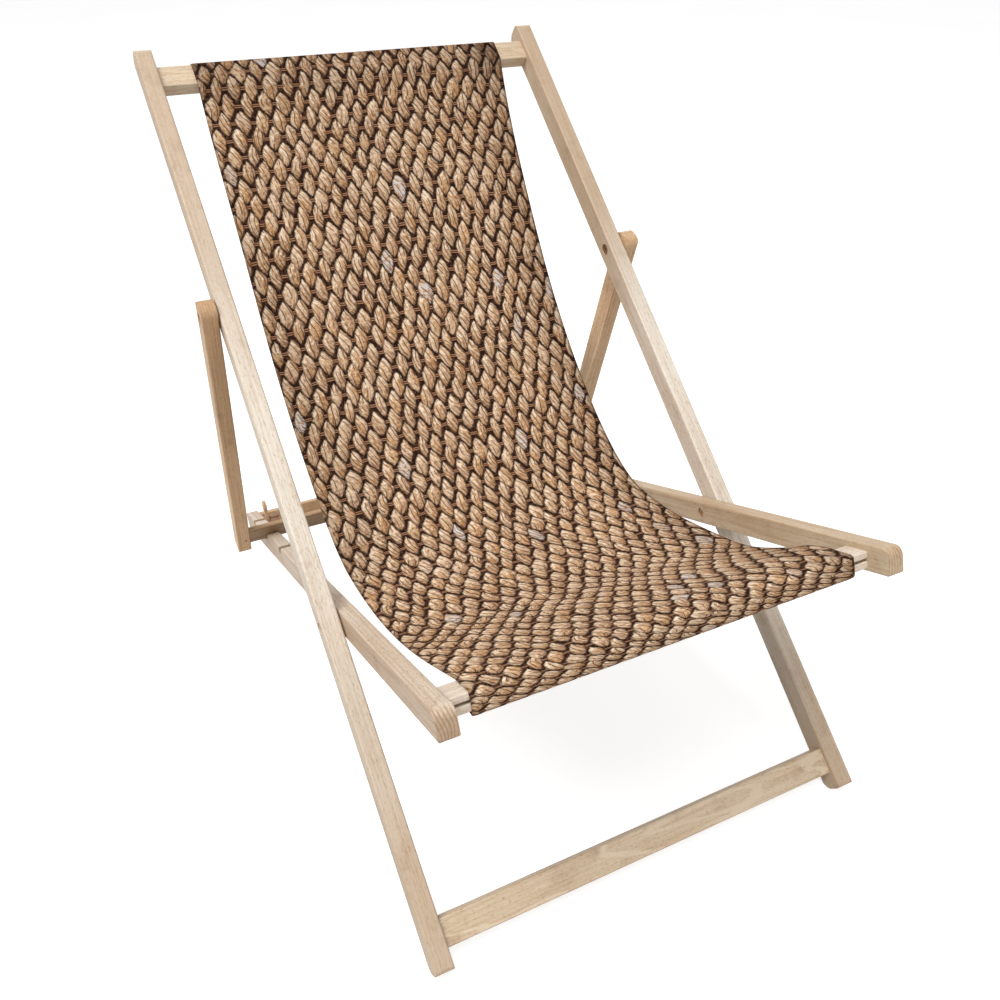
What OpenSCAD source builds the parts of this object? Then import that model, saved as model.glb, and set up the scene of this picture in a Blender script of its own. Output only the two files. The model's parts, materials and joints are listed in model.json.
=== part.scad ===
// Wooden deckchair with a woven-print sling: long frame, seat frame and prop frame.
// X runs across the chair, -Y is the front, Z is up, millimetres.

/* [Long frame] */
// Width over the two long rails
frame_w = 560; // [480:1:640]
// Length of each long rail
long_rail_len = 1153; // [1100:1:1220]
// Thickness of each long rail across the chair
long_rail_t = 22; // [18:0.5:26]
// Depth of every rail's section
rail_depth = 30; // [26:0.5:34]
// Lean of the long rails above the floor, degrees
recline = 39.5; // [37:0.5:42]
// Top board, thickness
top_board_t = 18; // [14:0.5:20]
// Foot bar, thickness
foot_bar_t = 20; // [14:0.5:20]

/* [Seat frame] */
// Thickness of each seat rail across the chair
seat_rail_t = 20; // [16:0.5:24]
// Distance from the foot to the seat pivot
seat_pivot = 382; // [370:1:395]
// Reach of the seat rails in front of the pivot
seat_front = 310; // [296:1:318]
// Reach of the seat rails behind the pivot
seat_rear = 646; // [620:1:670]
// Thickness of each front slat
slat_t = 8; // [6:0.5:8]
// Slot between the two front slats
slat_slot = 3; // [2:0.5:4]
// Depth of the recline notches
notch_depth = 8.5; // [7:0.5:10]
// Spacing of the recline notches
notch_pitch = 110; // [100:1:115]

/* [Prop frame] */
// Thickness of each prop rail across the chair
prop_rail_t = 20; // [16:0.5:24]
// Distance from the foot to the prop pivot
prop_pivot = 779; // [760:1:790]
// Reach of the prop rails above their pivot
prop_top = 19.5; // [16:0.5:22]
// Prop bar, thickness front to back
prop_bar_t = 8.5; // [7:0.5:10]

/* [Sling] */
// Clear space between the sling and each seat rail
sling_side = 21.5; // [18:0.5:36]
// Thickness of the woven sling
sling_t = 2.4; // [2:0.1:3]

/* [Hardware] */
// Pivot bolt, shank diameter
bolt_d = 8; // [6:0.5:9]
// Running clearance of the pivot bores, on diameter
bore_clear = 0.16; // [0.1:0.02:0.2]
// Washer between turning rails, thickness
washer_t = 1.5; // [1:0.1:2.5]
// Recesses for the bolt heads and the prop pivots' nuts, diameter
recess_d = 15; // [14:0.5:17]
// Recesses for the seat pivots' nuts, diameter
small_recess_d = 12; // [11:0.5:13]
// Depth of every recess
recess_h = 4.5; // [4:0.5:6]

/* [Hidden] */

e = 0.01;
hd = rail_depth / 2;          // half a rail's depth
ease = 2.5;                   // eased long edges
fit = 0.4;                    // the prop bar's clearance in its notch
cloth_gap = 0.3;              // sling clear of the wood it wraps
foot_flat = 0.6;              // depth of the flats the chair stands on

// Positions across the chair
x_lo = frame_w / 2;                    // long rail, outer face
x_li = x_lo - long_rail_t;             // long rail, inner face
x_so = x_li - washer_t;                // seat rail, outer face
x_si = x_so - seat_rail_t;             // seat rail, inner face
x_pi = x_lo + washer_t;                // prop rail, inner face
x_po = x_pi + prop_rail_t;             // prop rail, outer face

sling_w = 2 * (x_si - sling_side);

// Corner radii of the rails' ends
foot_rr = 13.5;               // long rail's foot, rear
foot_rf = 5;                  // long rail's foot, front
crown_rr = 11.5;              // long rail's top, rear
crown_rf = 8.5;               // long rail's top, front
seat_r_top = 11;              // seat rail's front end, top
seat_r_low = 3;               // seat rail's front end, underneath
prop_r_top = 11;              // prop's top, both corners
prop_r_rear = 12;             // prop's lower end, rear
prop_r_front = 3;             // prop's lower end, front

// Side view: y and z of the pivots, before the part is moved to its origin
floor_z = foot_rr * sin(recline) + (foot_rr - hd) * cos(recline) - foot_rr + foot_flat;
pv = [seat_pivot * cos(recline), seat_pivot * sin(recline)];
qv = [prop_pivot * cos(recline), prop_pivot * sin(recline)];
// The seat rails lean so that their rear lower corner meets the floor
seat_drop = pv[1] - floor_z + foot_flat;
lean = asin(seat_drop / norm([seat_rear, hd])) - atan(hd / seat_rear);

function long_yz(s, n) = [s * cos(recline) - n * sin(recline),
                          s * sin(recline) + n * cos(recline)];
function seat_yz(r, n) = [pv[0] + r * cos(lean) + n * sin(lean),
                          pv[1] - r * sin(lean) + n * cos(lean)];

// Recline notches: rear walls, the middle one is the one that the bar uses
notch_rear = 460;
notch_n = hd - notch_depth;
notches = [notch_rear - notch_pitch, notch_rear, notch_rear + notch_pitch];

// Prop: its bar stands on its lower front edge in the middle notch, and its lower
// rear edge leans on the notch's rear wall
bar_set = 0.5;                                    // bar set back from the prop's face
bar_h = rail_depth;
bar_c = hd - bar_set;
function knee_at(tilt) = seat_yz(notch_rear - fit - cos(tilt) * prop_bar_t, notch_n + fit);
function swing_at(k) = atan2(k[0] - qv[0], qv[1] - k[1]) + asin(bar_c / norm(k - qv));
bar_tilt = lean + swing_at(knee_at(40));          // angle between bar and notch
knee = knee_at(bar_tilt);
kd = norm(knee - qv);
bar_low = sqrt(kd * kd - bar_c * bar_c);          // bar's lower face below the pivot
swing = swing_at(knee);
notch_len = fit + cos(bar_tilt) * prop_bar_t
  + (fit + sin(bar_tilt) * (notch_depth - fit)) / cos(bar_tilt);
prop_end = 17;                                    // prop's reach below its bar
prop_len = bar_low + prop_end;

// Sizes of the cross pieces along their rails
foot_lo = 20.4;
foot_w = 31.5;
foot_hi = foot_lo + foot_w;
foot_n = 9;                                       // front face of the foot bar
top_w = 30;
top_hi = long_rail_len - 23;
top_lo = top_hi - top_w;
top_n = 7;                                        // front face of the top board
slat_r1 = -(seat_front - 27.5);
slat_r2 = slat_r1 + 30;
slat_n = 7.7;                                     // top face of the upper slat
slat_low = slat_n - 2 * slat_t - slat_slot;       // lower face of the lower slat
slat_in = 6;                                      // slat ends let into the rails
rear_t = 18;
rear_end = 17;                                    // rails' reach behind the rear board
rear_r = seat_rear - rear_end - rear_t;           // front face of the rear board

// The origin is the middle of the part's footprint, on the floor
y_front = long_yz(foot_rf, hd - foot_rf)[0] - foot_rf;
y_rear = max(seat_yz(seat_rear, hd)[0],
  long_yz(long_rail_len - crown_rr, crown_rr - hd)[0] + crown_rr);
y_mid = (y_front + y_rear) / 2;

module placed() translate([0, -y_mid, -floor_z]) children();
module long_frame() placed() rotate([recline, 0, 0]) children();
module seat_frame() placed() translate([0, pv[0], pv[1]]) rotate([-lean, 0, 0]) children();
module prop_frame() placed() translate([0, qv[0], qv[1]]) rotate([swing, 0, 0]) children();
module both() { children(); mirror([1, 0, 0]) children(); }
module floor_cut() translate([-400, -1200, -60]) cube([800, 2400, 60]);

// A bar's section with eased edges, from corner a to corner b
function arc4(c, r, a0) = [for (i = [0:4]) c + r * [cos(a0 + i * 22.5), sin(a0 + i * 22.5)]];
module section(a, b, r = ease) polygon(concat(
  arc4([b[0] - r, b[1] - r], r, 0), arc4([a[0] + r, b[1] - r], r, 90),
  arc4([a[0] + r, a[1] + r], r, 180), arc4([b[0] - r, a[1] + r], r, 270)));

// A rail from y1 to y2 between x1 and x2, with eased edges along its length
module rail(x1, x2, y1, y2) rotate([-90, 0, 0]) translate([0, 0, y1])
  linear_extrude(y2 - y1) section([x1, -hd], [x2, hd]);

// A cross bar from xa to xb; its section is given in y and z
module cross(xa, xb, a, b, r = 2) translate([xa, 0, 0]) rotate([90, 0, 90])
  linear_extrude(xb - xa) section(a, b, r);

module pin_x(d, x1, x2, n = 48) translate([x1, 0, 0]) rotate([0, 90, 0])
  cylinder(d = d, h = x2 - x1, $fn = n);

// Side outline of a rail from y1 to y2, with its corner radii in the order
// y1 low, y2 low, y2 high, y1 high
function corner(c, r, a0) = r == 0 ? [c]
  : [for (i = [0:8]) c + r * [cos(a0 + i * 11.25), sin(a0 + i * 11.25)]];
module outline(x1, x2, y1, y2, r) translate([x1 - 1, 0, 0]) rotate([90, 0, 90])
  linear_extrude(x2 - x1 + 2) polygon(concat(
    corner([y1 + r[0], r[0] - hd], r[0], 180), corner([y2 - r[1], r[1] - hd], r[1], 270),
    corner([y2 - r[2], hd - r[2]], r[2], 0), corner([y1 + r[3], hd - r[3]], r[3], 90)));

module long_rail(side) color([0.9, 0.84, 0.75]) difference() {
  long_frame() mirror([side < 0 ? 1 : 0, 0, 0]) difference() {
    intersection() {
      rail(x_li, x_lo, 0, long_rail_len);
      outline(x_li, x_lo, 0, long_rail_len, [foot_rr, crown_rr, crown_rf, foot_rf]);
    }
    translate([0, seat_pivot, 0]) {
      pin_x(bolt_d, x_li - 1, x_lo + 1);
      pin_x(recess_d, x_lo - recess_h, x_lo + 1);
    }
    translate([0, prop_pivot, 0]) {
      pin_x(bolt_d, x_li - 1, x_lo + 1);
      pin_x(recess_d, x_li - 1, x_li + recess_h);
    }
    main_dowel_set(dowel_d);
  }
  floor_cut();
}
module main_rail_left() long_rail(-1);
module main_rail_right() long_rail(1);

module top_board() color([0.86, 0.78, 0.68]) long_frame() difference() {
  cross(-x_li, x_li, [top_lo, top_n - top_board_t], [top_hi, top_n]);
  both() main_dowel_set(dowel_d);
  back_staples(0);
}
module foot_bar() color([0.86, 0.78, 0.68]) long_frame() difference() {
  cross(-x_li, x_li, [foot_lo, foot_n - foot_bar_t], [foot_hi, foot_n]);
  both() main_dowel_set(dowel_d);
}

dowel_d = 8;
dowel_in = 14;                                    // dowel's reach into each piece
module main_dowel_set(d) {
  for (y = [foot_lo + 8, foot_hi - 8])
    translate([0, y, foot_n - foot_bar_t / 2]) pin_x(d, x_li - dowel_in, x_li + dowel_in, 24);
  for (y = [top_lo + 8, top_hi - 8])
    translate([0, y, top_n - top_board_t / 2]) pin_x(d, x_li - dowel_in, x_li + dowel_in, 24);
}
module main_dowels() color([0.8, 0.68, 0.5]) long_frame() both() main_dowel_set(dowel_d);

module seat_rail(side) color([0.88, 0.8, 0.7]) difference() {
  seat_frame() mirror([side < 0 ? 1 : 0, 0, 0]) difference() {
    intersection() {
      rail(x_si, x_so, -seat_front, seat_rear);
      outline(x_si, x_so, -seat_front, seat_rear, [seat_r_low, 0, 0, seat_r_top]);
    }
    pin_x(bolt_d + bore_clear, x_si - 1, x_so + 1);
    pin_x(small_recess_d, x_si - 1, x_si + recess_h);
    for (r = notches) translate([x_si - 1, r - notch_len, notch_n])
      cube([seat_rail_t + 2, notch_len, notch_depth + 1]);
    slats(x_si + slat_in);
    rear_dowel_set(dowel_d);
    if (side < 0) translate([0, knob_r, knob_pin_n]) pin_x(knob_pin_d, x_si - 1, x_si + 8, 24);
  }
  floor_cut();
}
module seat_rail_left() seat_rail(-1);
module seat_rail_right() seat_rail(1);

// Both front slats, or one of them, reaching x on each side
module slat(x, top) cross(-x, x, [slat_r1, top - slat_t], [slat_r2, top], 1.6);
module slats(x) { slat(x, slat_n); slat(x, slat_n - slat_t - slat_slot); }
module front_slat_upper() color([0.84, 0.76, 0.66]) seat_frame() slat(x_si + slat_in, slat_n);
module front_slat_lower() color([0.84, 0.76, 0.66]) seat_frame() difference() {
  slat(x_si + slat_in, slat_n - slat_t - slat_slot);
  front_staples(0);
}

module seat_rear_board() color([0.8, 0.7, 0.58]) seat_frame() difference() {
  cross(-x_si, x_si, [rear_r, 2 - hd], [rear_r + rear_t, hd]);
  both() rear_dowel_set(dowel_d);
}
module rear_dowel_set(d) for (z = [-6, 7]) translate([0, rear_r + rear_t / 2, z])
  pin_x(d, x_si - dowel_in, x_si + dowel_in, 24);
module rear_board_dowels() color([0.8, 0.68, 0.5]) seat_frame() both() rear_dowel_set(dowel_d);

// Prop frame, z up along the prop rails
module prop_rail(side) color([0.85, 0.75, 0.63]) prop_frame()
  mirror([side < 0 ? 1 : 0, 0, 0]) difference() {
    rotate([-90, 0, 0]) intersection() {
      rail(x_pi, x_po, -prop_top, prop_len);
      outline(x_pi, x_po, -prop_top, prop_len,
        [prop_r_top, prop_r_front, prop_r_rear, prop_r_top]);
    }
    pin_x(bolt_d + bore_clear, x_pi - 1, x_po + 1);
    pin_x(recess_d, x_po - recess_h, x_po + 1);
    bar_tenon(x_pi - 1, x_pi + tenon_in);
    nail(nail_d);
  }
module prop_rail_left() prop_rail(-1);
module prop_rail_right() prop_rail(1);

tenon_in = 13;
nail_d = 3;
nail_len = 22;
module bar_tenon(x1, x2) translate([x1, -bar_c + 2, -bar_low + 6])
  cube([x2 - x1, prop_bar_t - 4, bar_h - 12]);
module nail(d) translate([x_pi + 7, -hd - 0.4, -bar_low + 9]) rotate([-90, 0, 0])
  cylinder(d = d, h = nail_len, $fn = 24);
module prop_bar() color([0.72, 0.6, 0.46]) prop_frame() difference() {
  union() {
    rotate([-90, 0, 0])
      cross(-x_pi, x_pi, [bar_low - bar_h, -bar_c], [bar_low, prop_bar_t - bar_c], 2.5);
    both() bar_tenon(x_pi - 1, x_pi + tenon_in);
  }
  both() nail(nail_d);
}
module prop_bar_nails() color([0.5, 0.42, 0.36]) prop_frame() both() nail(nail_d);

// Pivot hardware: low domed bolt heads and sleeve nuts, all sunk in recesses
head_d = recess_d - 1.4;
head_h = 2.6;
nut_h = 2.6;
module dome(x) translate([x, 0, 0]) rotate([0, 90, 0]) rotate_extrude($fn = 48)
  polygon(concat([[0, 0], [head_d / 2, 0]],
    [for (i = [0:8]) [head_d / 2 * cos(i * 11.25), 0.9 + (head_h - 0.9) * sin(i * 11.25)]]));
module bolt(x1, x2) { pin_x(bolt_d, x1, x2); dome(x2); }
module sleeve_nut(x, recess) difference() {
  pin_x(recess - 1.4, x, x + nut_h);
  pin_x(4.5, x - 1, x + nut_h - 1, 6);
}
module washer(x) difference() {
  pin_x(recess_d + 1, x, x + washer_t);
  pin_x(bolt_d, x - 1, x + washer_t + 1);
}
module at_seat() long_frame() both() translate([0, seat_pivot, 0]) children();
module at_prop() long_frame() both() translate([0, prop_pivot, 0]) children();
module seat_pivot_bolts() color([0.75, 0.74, 0.7]) at_seat()
  bolt(x_si + recess_h, x_lo - recess_h);
module seat_pivot_nuts() color([0.75, 0.74, 0.7]) at_seat()
  sleeve_nut(x_si + recess_h - nut_h, small_recess_d);
module seat_pivot_washers() color([0.7, 0.7, 0.68]) at_seat() washer(x_so);
module prop_pivot_bolts() color([0.75, 0.74, 0.7]) at_prop()
  bolt(x_li + recess_h, x_po - recess_h);
module prop_pivot_nuts() color([0.75, 0.74, 0.7]) at_prop()
  sleeve_nut(x_li + recess_h - nut_h, recess_d);
module prop_pivot_washers() color([0.7, 0.7, 0.68]) at_prop() washer(x_lo);

// Small hooked peg and knob inside the left seat rail, near its rear end
knob_set = 65;                                    // knob and peg in front of the rear board
peg_set = 51;
knob_r = rear_r - knob_set;
knob_n = 17;
knob_d = 13;
knob_rim = 17;
knob_pin_n = 12;
knob_pin_d = 5;
peg_r = rear_r - peg_set;
peg_t = 5;
module latch_peg() color([0.8, 0.68, 0.52]) seat_frame()
  translate([-x_si, peg_r, 0]) rotate([90, 0, 90]) linear_extrude(peg_t) polygon([
    [0, -8], [11, -8], [11, 34], [9, 41], [4, 45], [-2, 44], [-7, 39],
    [-8, 34], [-4, 35], [-1, 33], [1, 28], [0, 18]]);
module latch_knob() color([0.82, 0.7, 0.54]) seat_frame() translate([-x_si, knob_r, knob_n]) {
  difference() {
    union() {
      pin_x(knob_d, 4, 16, 32);
      pin_x(knob_rim, 15, 19, 40);
    }
    pin_x(7.6, 3, 13, 24);
  }
  translate([0, 0, knob_pin_n - knob_n]) pin_x(knob_pin_d, -8, 16, 24);
}

// Sling: a sheet along a route in the side view, seen as points and their normals
function bez(p, n) = [for (i = [0:n]) let (t = i / n, u = 1 - t)
  u * u * u * p[0] + 3 * u * u * t * p[1] + 3 * u * t * t * p[2] + t * t * t * p[3]];
function unit(v) = v / norm(v);
function side_of(l, i) = let (n = len(l) - 1,
  t = unit(l[min(i + 1, n)] - l[i] + (l[i] - l[max(i - 1, 0)]) + [e / 100, 0])) [-t[1], t[0]];
module sheet(l) translate([-sling_w / 2, 0, 0]) rotate([90, 0, 90]) linear_extrude(sling_w)
  polygon(concat([for (i = [0:len(l) - 1]) l[i] + side_of(l, i) * sling_t / 2],
    [for (i = [len(l) - 1:-1:0]) l[i] - side_of(l, i) * sling_t / 2]));
// Points round a corner c, of radius r, from angle a0 to a1
function turn(c, r, a0, a1) = [for (i = [0:5]) let (a = a0 + (a1 - a0) * i / 5)
  c + r * [cos(a), sin(a)]];

off = sling_t / 2 + cloth_gap;
cr = 2 + off;                                     // bend radius over a board's edge
low_pt = [400, 226];                              // lowest point of the hanging sling
hang_back = 71.6;                                 // its slope below the top board
hang_front = 29;                                  // its slope behind the front slats
reach_back = 217;                                 // how far each slope and the low part
reach_front = 90;                                 // reach into the curve
reach_low_back = 122;
reach_low_front = 150;
tw = long_yz(top_lo + 1, top_n + off);            // sling leaves the top board here
sw = seat_yz(slat_r2 - 1, slat_n + off);          // sling meets the front slats here
rise = bez([low_pt, low_pt + [reach_low_back, 0],
  tw - reach_back * [cos(hang_back), sin(hang_back)], tw], 34);
dip = bez([sw, sw + reach_front * [cos(hang_front), -sin(hang_front)],
  low_pt - [reach_low_front, 0], low_pt], 30);
cut_y = pv[0];                                    // the sling's two halves part below the pivot
cut_gap = 0.3;
function dip_at(y) = [y, lookup(y, dip)];
back_route = concat([dip_at(cut_y + cut_gap)], [for (p = dip) if (p[0] > cut_y + 3) p],
  [for (i = [1:34]) rise[i]],
  [for (q = concat(turn([top_hi - 2, top_n - 2], cr, 90, 0),
     turn([top_hi - 2, top_n - top_board_t + 2], cr, 0, -90),
     [[top_lo + 4, top_n - top_board_t - off]])) long_yz(q[0], q[1])]);
seat_route = concat([for (q = concat([[slat_r2 - 2, slat_low - off]],
     turn([slat_r1 + 1.6, slat_low + 1.6], cr - 0.4, -90, -180),
     turn([slat_r1 + 1.6, slat_n - 1.6], cr - 0.4, 180, 90))) seat_yz(q[0], q[1])],
  [for (p = dip) if (p[0] < cut_y - 3) p], [dip_at(cut_y - cut_gap)]);
module sling_back() color([0.6, 0.46, 0.33]) difference() {
  placed() sheet(back_route);
  long_frame() back_staples(0.1);
}
module sling_seat() color([0.6, 0.46, 0.33]) difference() {
  placed() sheet(seat_route);
  seat_frame() front_staples(0.1);
}

// Staples that hold the sling's ends to the wood, out of sight
staple_w = 10;
wire = 0.8;
staple_len = 7;
staples = 9;
staple_edge = 15;                                 // end staples' middle from the sling's edge
// A row of staples; room widens them for the holes in the cloth
module staple_row(y, z, room) for (i = [0:staples - 1]) translate([
    -sling_w / 2 + staple_edge + i * (sling_w - 2 * staple_edge) / (staples - 1), y, z]) {
  if (room == 0) translate([-staple_w / 2, 0, -0.6]) cube([staple_w, wire, 0.6]);
  for (x = [-staple_w / 2, staple_w / 2 - wire])
    translate([x - room, -room, -0.3]) cube([wire + 2 * room, wire + 2 * room, staple_len + 0.3]);
}
module back_staples(room)
  staple_row(top_lo + 10, top_n - top_board_t - off - sling_t / 2, room);
module front_staples(room) staple_row(slat_r2 - 12, slat_low - off - sling_t / 2, room);
module sling_staples_back() color([0.7, 0.7, 0.72]) long_frame() back_staples(0);
module sling_staples_front() color([0.7, 0.7, 0.72]) seat_frame() front_staples(0);

main_rail_left();
main_rail_right();
top_board();
foot_bar();
main_dowels();
seat_rail_left();
seat_rail_right();
front_slat_upper();
front_slat_lower();
seat_rear_board();
rear_board_dowels();
prop_rail_left();
prop_rail_right();
prop_bar();
prop_bar_nails();
seat_pivot_bolts();
seat_pivot_nuts();
seat_pivot_washers();
prop_pivot_bolts();
prop_pivot_nuts();
prop_pivot_washers();
latch_peg();
latch_knob();
sling_back();
sling_seat();
sling_staples_back();
sling_staples_front();
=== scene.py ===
"""Wooden deckchair with a hanging woven-print sling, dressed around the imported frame.

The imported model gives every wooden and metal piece. This script finishes them in grained
beech and dull zinc, hangs the printed cloth as one continuous sheet, and sets up a plain
studio with the camera at the photographed angle. Metres, +X right, +Y back, +Z up.
"""

from __future__ import annotations

import json
import logging
import math
from dataclasses import dataclass, field
from enum import Enum
from typing import Mapping, Optional, Sequence, Union

import bpy
import numpy as np
from mathutils import Matrix, Vector

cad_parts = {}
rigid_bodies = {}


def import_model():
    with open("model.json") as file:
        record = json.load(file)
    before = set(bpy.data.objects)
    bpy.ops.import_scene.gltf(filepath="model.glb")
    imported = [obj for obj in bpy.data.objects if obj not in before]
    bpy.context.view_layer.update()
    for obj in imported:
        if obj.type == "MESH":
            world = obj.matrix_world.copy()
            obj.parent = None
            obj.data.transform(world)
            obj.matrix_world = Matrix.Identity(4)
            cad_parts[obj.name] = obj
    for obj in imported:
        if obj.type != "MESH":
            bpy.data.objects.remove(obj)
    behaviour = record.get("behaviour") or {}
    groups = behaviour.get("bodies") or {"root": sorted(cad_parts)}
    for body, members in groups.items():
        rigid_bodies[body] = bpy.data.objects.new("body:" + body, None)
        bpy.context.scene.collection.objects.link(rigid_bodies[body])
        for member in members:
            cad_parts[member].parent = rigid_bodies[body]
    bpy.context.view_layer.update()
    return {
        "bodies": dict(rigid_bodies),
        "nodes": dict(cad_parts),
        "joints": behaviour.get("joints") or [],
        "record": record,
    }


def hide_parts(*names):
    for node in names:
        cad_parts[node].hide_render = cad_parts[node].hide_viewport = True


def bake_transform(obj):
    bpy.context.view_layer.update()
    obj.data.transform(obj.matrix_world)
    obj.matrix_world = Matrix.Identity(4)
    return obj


log = logging.getLogger("deckchair")

Socket = bpy.types.NodeSocket
Value = Union[float, Sequence[float], Socket]
Colour = tuple[float, float, float, float]
Tones = tuple[Colour, Colour]
MM = 0.001
WHITE: Colour = (1.0, 1.0, 1.0, 1.0)


def srgb(red: float, green: float, blue: float) -> Colour:
    """Returns the linear colour that a shader takes, from values of 0 to 255."""
    def linear(value: float) -> float:
        """Returns one channel, linear."""
        part = value / 255.0
        return part / 12.92 if part <= 0.04045 else ((part + 0.055) / 1.055) ** 2.4

    return (linear(red), linear(green), linear(blue), 1.0)


# Node graphs


@dataclass
class Graph:
    """Adds nodes to one shader tree, of a material or a group, and wires them."""

    tree: bpy.types.NodeTree

    def node(self, kind: str, feeds: Optional[Mapping[Union[int, str], Value]] = None,
             **settings: object) -> bpy.types.Node:
        """Adds one node.

        Args:
            kind: the node's type name.
            feeds: what its inputs get, by index or name.
            settings: properties set on the node.

        Returns:
            The new node.
        """
        made = self.tree.nodes.new(kind)
        for name, value in settings.items():
            setattr(made, name, value)
        for slot, value in (feeds or {}).items():
            self.feed(made.inputs[slot], value)
        return made

    def feed(self, socket: Socket, value: Value) -> None:
        """Links an input to an output socket, or sets it to a number or a tuple."""
        if isinstance(value, bpy.types.NodeSocket):
            self.tree.links.new(value, socket)
        else:
            socket.default_value = value

    def fill(self, made: bpy.types.Node, **values: Value) -> None:
        """Feeds a node's inputs by name, with _ for a space in a name."""
        for name, value in values.items():
            self.feed(made.inputs[name.replace("_", " ")], value)

    def math(self, operation: str, *values: Value, clamp: bool = False) -> Socket:
        """Returns the result of a Math node.

        Args:
            operation: the node's operation.
            values: one to three inputs.
            clamp: whether the result stays from 0 to 1.
        """
        return self.node("ShaderNodeMath", dict(enumerate(values)), operation=operation,
                         use_clamp=clamp).outputs[0]

    def chain(self, operation: str, values: Sequence[Value]) -> Socket:
        """Returns the result of one operation along two or more values."""
        result = values[0]
        for value in values[1:]:
            result = self.math(operation, result, value)
        return result

    def total(self, *values: Value) -> Socket:
        """Returns the sum of two or more values."""
        return self.chain("ADD", values)

    def times(self, *values: Value) -> Socket:
        """Returns the product of two or more values."""
        return self.chain("MULTIPLY", values)

    def minus(self, first: Value, second: Value) -> Socket:
        """Returns the first value less the second."""
        return self.math("SUBTRACT", first, second)

    def absolute(self, value: Value) -> Socket:
        """Returns a value without its sign."""
        return self.math("ABSOLUTE", value)

    def smooth(self, value: Value, low: Value, high: Value,
               to_low: Value = 0.0, to_high: Value = 1.0) -> Socket:
        """Returns a soft step of a value.

        Args:
            value: what is mapped.
            low: where the step begins.
            high: where the step ends.
            to_low: the result before the step.
            to_high: the result after it.
        """
        feeds = {"Value": value, "From Min": low, "From Max": high, "To Min": to_low,
                 "To Max": to_high}
        return self.node("ShaderNodeMapRange", feeds,
                         interpolation_type="SMOOTHSTEP").outputs["Result"]

    def span(self, value: Value, to_low: Value, to_high: Value) -> Socket:
        """Returns a value of 0 to 1 spread from to_low to to_high."""
        return self.total(to_low, self.times(value, self.minus(to_high, to_low)))

    def mix(self, factor: Value, first: Value, second: Value, blend: str = "MIX") -> Socket:
        """Returns a mix of two colours.

        Args:
            factor: share of the second colour.
            first: the first colour.
            second: the second colour.
            blend: the blend mode.
        """
        return self.node("ShaderNodeMix", {0: factor, 6: first, 7: second},
                         data_type="RGBA", blend_type=blend).outputs[2]

    def pick(self, factor: Value, first: Value, second: Value) -> Socket:
        """Returns the first value at a factor of 0 and the second at 1."""
        return self.node("ShaderNodeMix", {0: factor, 2: first, 3: second},
                         data_type="FLOAT").outputs[0]

    def vector(self, x: Value, y: Value, z: Value = 0.0) -> Socket:
        """Returns a vector of three values."""
        return self.node("ShaderNodeCombineXYZ", {0: x, 1: y, 2: z}).outputs[0]

    def parts(self, vector: Value) -> tuple[Socket, Socket, Socket]:
        """Returns a vector's or a colour's three values."""
        outputs = self.node("ShaderNodeSeparateXYZ", {0: vector}).outputs
        return outputs[0], outputs[1], outputs[2]

    def stretched(self, vector: Value, scale: Value) -> Socket:
        """Returns a vector with each axis multiplied by its own scale."""
        return self.node("ShaderNodeVectorMath", {0: vector, 1: scale},
                         operation="MULTIPLY").outputs[0]

    def shifted(self, vector: Value, offset: Value) -> Socket:
        """Returns a vector with another one added."""
        return self.node("ShaderNodeVectorMath", {0: vector, 1: offset},
                         operation="ADD").outputs[0]

    def noise(self, place: Value, cells: Sequence[float] = (), detail: float = 2.0,
              roughness: float = 0.5, colour: bool = False) -> Socket:
        """Returns a noise over space.

        Args:
            place: the place.
            cells: noise cells in a unit of length along each axis, 1 where not given.
            detail: octaves.
            roughness: weight of the finer octaves.
            colour: three values instead of one.
        """
        feeds = {"Vector": self.stretched(place, cells) if cells else place,
                 "Scale": 1.0, "Detail": detail, "Roughness": roughness}
        made = self.node("ShaderNodeTexNoise", feeds)
        return made.outputs["Color" if colour else "Fac"]

    def chance(self, vector: Value) -> Socket:
        """Returns three random values for a cell, as a colour."""
        return self.node("ShaderNodeTexWhiteNoise", {"Vector": vector},
                         noise_dimensions="3D").outputs["Color"]


@dataclass(frozen=True)
class Port:
    """One socket of a shader node group."""

    name: str
    kind: str = "NodeSocketFloat"


class Group:
    """A shader node group that is built once and placed in many materials."""

    name = "group"
    inputs: tuple[Port, ...] = ()
    outputs: tuple[Port, ...] = ()

    def __init__(self) -> None:
        """Builds the group's tree."""
        self.tree = bpy.data.node_groups.new(self.name, "ShaderNodeTree")
        for in_out, ports in (("INPUT", self.inputs), ("OUTPUT", self.outputs)):
            for port in ports:
                self.tree.interface.new_socket(name=port.name, in_out=in_out,
                                               socket_type=port.kind)
        graph = Graph(self.tree)
        source = graph.node("NodeGroupInput").outputs
        sink = graph.node("NodeGroupOutput").inputs
        for name, value in self.build(graph, source).items():
            graph.feed(sink[name], value)

    def build(self, graph: Graph, source: bpy.types.NodeOutputs) -> dict[str, Value]:
        """Adds the group's nodes.

        Args:
            graph: where nodes are added.
            source: the group's inputs.

        Returns:
            The value of each output, by name.
        """
        raise NotImplementedError

    def place(self, graph: Graph, **values: Value) -> bpy.types.NodeOutputs:
        """Puts the group into a material.

        Args:
            graph: the material's graph.
            values: the group's inputs, with _ for a space in a name.

        Returns:
            The placed group's outputs.
        """
        made = graph.node("ShaderNodeGroup", node_tree=self.tree)
        graph.fill(made, **values)
        return made.outputs


COLOUR = "NodeSocketColor"
VECTOR = "NodeSocketVector"


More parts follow.
